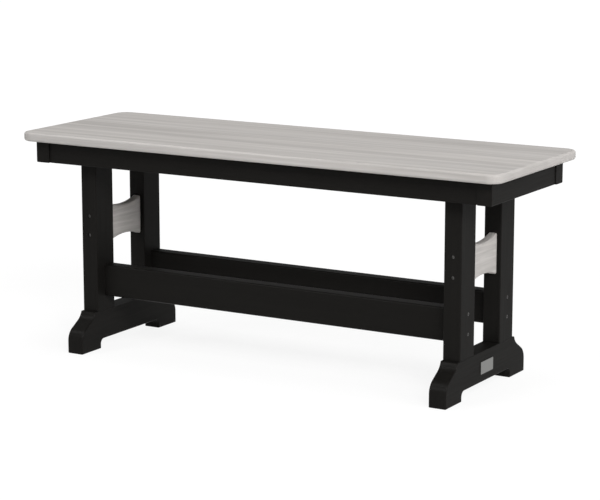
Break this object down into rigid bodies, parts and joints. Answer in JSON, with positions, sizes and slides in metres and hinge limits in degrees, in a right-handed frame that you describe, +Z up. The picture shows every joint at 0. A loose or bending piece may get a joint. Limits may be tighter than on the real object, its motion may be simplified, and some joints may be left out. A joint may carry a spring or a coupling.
{
  "type": "dining bench",
  "caption": "Trestle dining bench: flat seat board on an apron, shaped feet with square posts, hollowed braces between the posts, and long stretchers between the trestles.",
  "frame": {"origin": "on the floor, under the middle of the seat board", "axes": "+X along the bench to its right end, which has the plaque on its foot; -Y towards the front; +Z up"},
  "size_m": [1.1176, 0.381, 0.4696],
  "materials": {
    "driftwood_board": "pale grey poly lumber with an embossed wood grain, satin",
    "black_board": "black poly lumber with a faint grain, satin",
    "screw_steel": "dark coated screws",
    "plaque_metal": "brushed, bare"
  },
  "bodies": {
    "root": {"seat_board": "driftwood_board", "left_brace": "driftwood_board", "right_brace": "driftwood_board", "front_apron_rail": "black_board", "rear_apron_rail": "black_board", "left_apron_end": "black_board", "right_apron_end": "black_board", "front_left_post": "black_board", "rear_left_post": "black_board", "front_right_post": "black_board", "rear_right_post": "black_board", "left_foot": "black_board", "right_foot": "black_board", "front_stretcher": "black_board", "rear_stretcher": "black_board", "left_seat_batten": "black_board", "centre_seat_batten": "black_board", "right_seat_batten": "black_board", "front_left_corner_block": "black_board", "rear_left_corner_block": "black_board", "front_right_corner_block": "black_board", "rear_right_corner_block": "black_board", "foot_plaque": "plaque_metal", "front_left_brace_screw_lower": "screw_steel", "front_left_brace_screw_upper": "screw_steel", "rear_left_brace_screw_lower": "screw_steel", "rear_left_brace_screw_upper": "screw_steel", "front_right_brace_screw_lower": "screw_steel", "front_right_brace_screw_upper": "screw_steel", "rear_right_brace_screw_lower": "screw_steel", "rear_right_brace_screw_upper": "screw_steel", "front_left_stretcher_screw_lower": "screw_steel", "front_left_stretcher_screw_upper": "screw_steel", "rear_left_stretcher_screw_lower": "screw_steel", "rear_left_stretcher_screw_upper": "screw_steel", "front_right_stretcher_screw_lower": "screw_steel", "front_right_stretcher_screw_upper": "screw_steel", "rear_right_stretcher_screw_lower": "screw_steel", "rear_right_stretcher_screw_upper": "screw_steel", "front_left_foot_screw_inner": "screw_steel", "front_left_foot_screw_outer": "screw_steel", "rear_left_foot_screw_inner": "screw_steel", "rear_left_foot_screw_outer": "screw_steel", "front_right_foot_screw_inner": "screw_steel", "front_right_foot_screw_outer": "screw_steel", "rear_right_foot_screw_inner": "screw_steel", "rear_right_foot_screw_outer": "screw_steel", "front_left_post_screw": "screw_steel", "rear_left_post_screw": "screw_steel", "front_right_post_screw": "screw_steel", "rear_right_post_screw": "screw_steel", "front_left_seat_screw": "screw_steel", "rear_left_seat_screw": "screw_steel", "front_centre_seat_screw": "screw_steel", "rear_centre_seat_screw": "screw_steel", "front_right_seat_screw": "screw_steel", "rear_right_seat_screw": "screw_steel"}
  },
  "joints": []
}
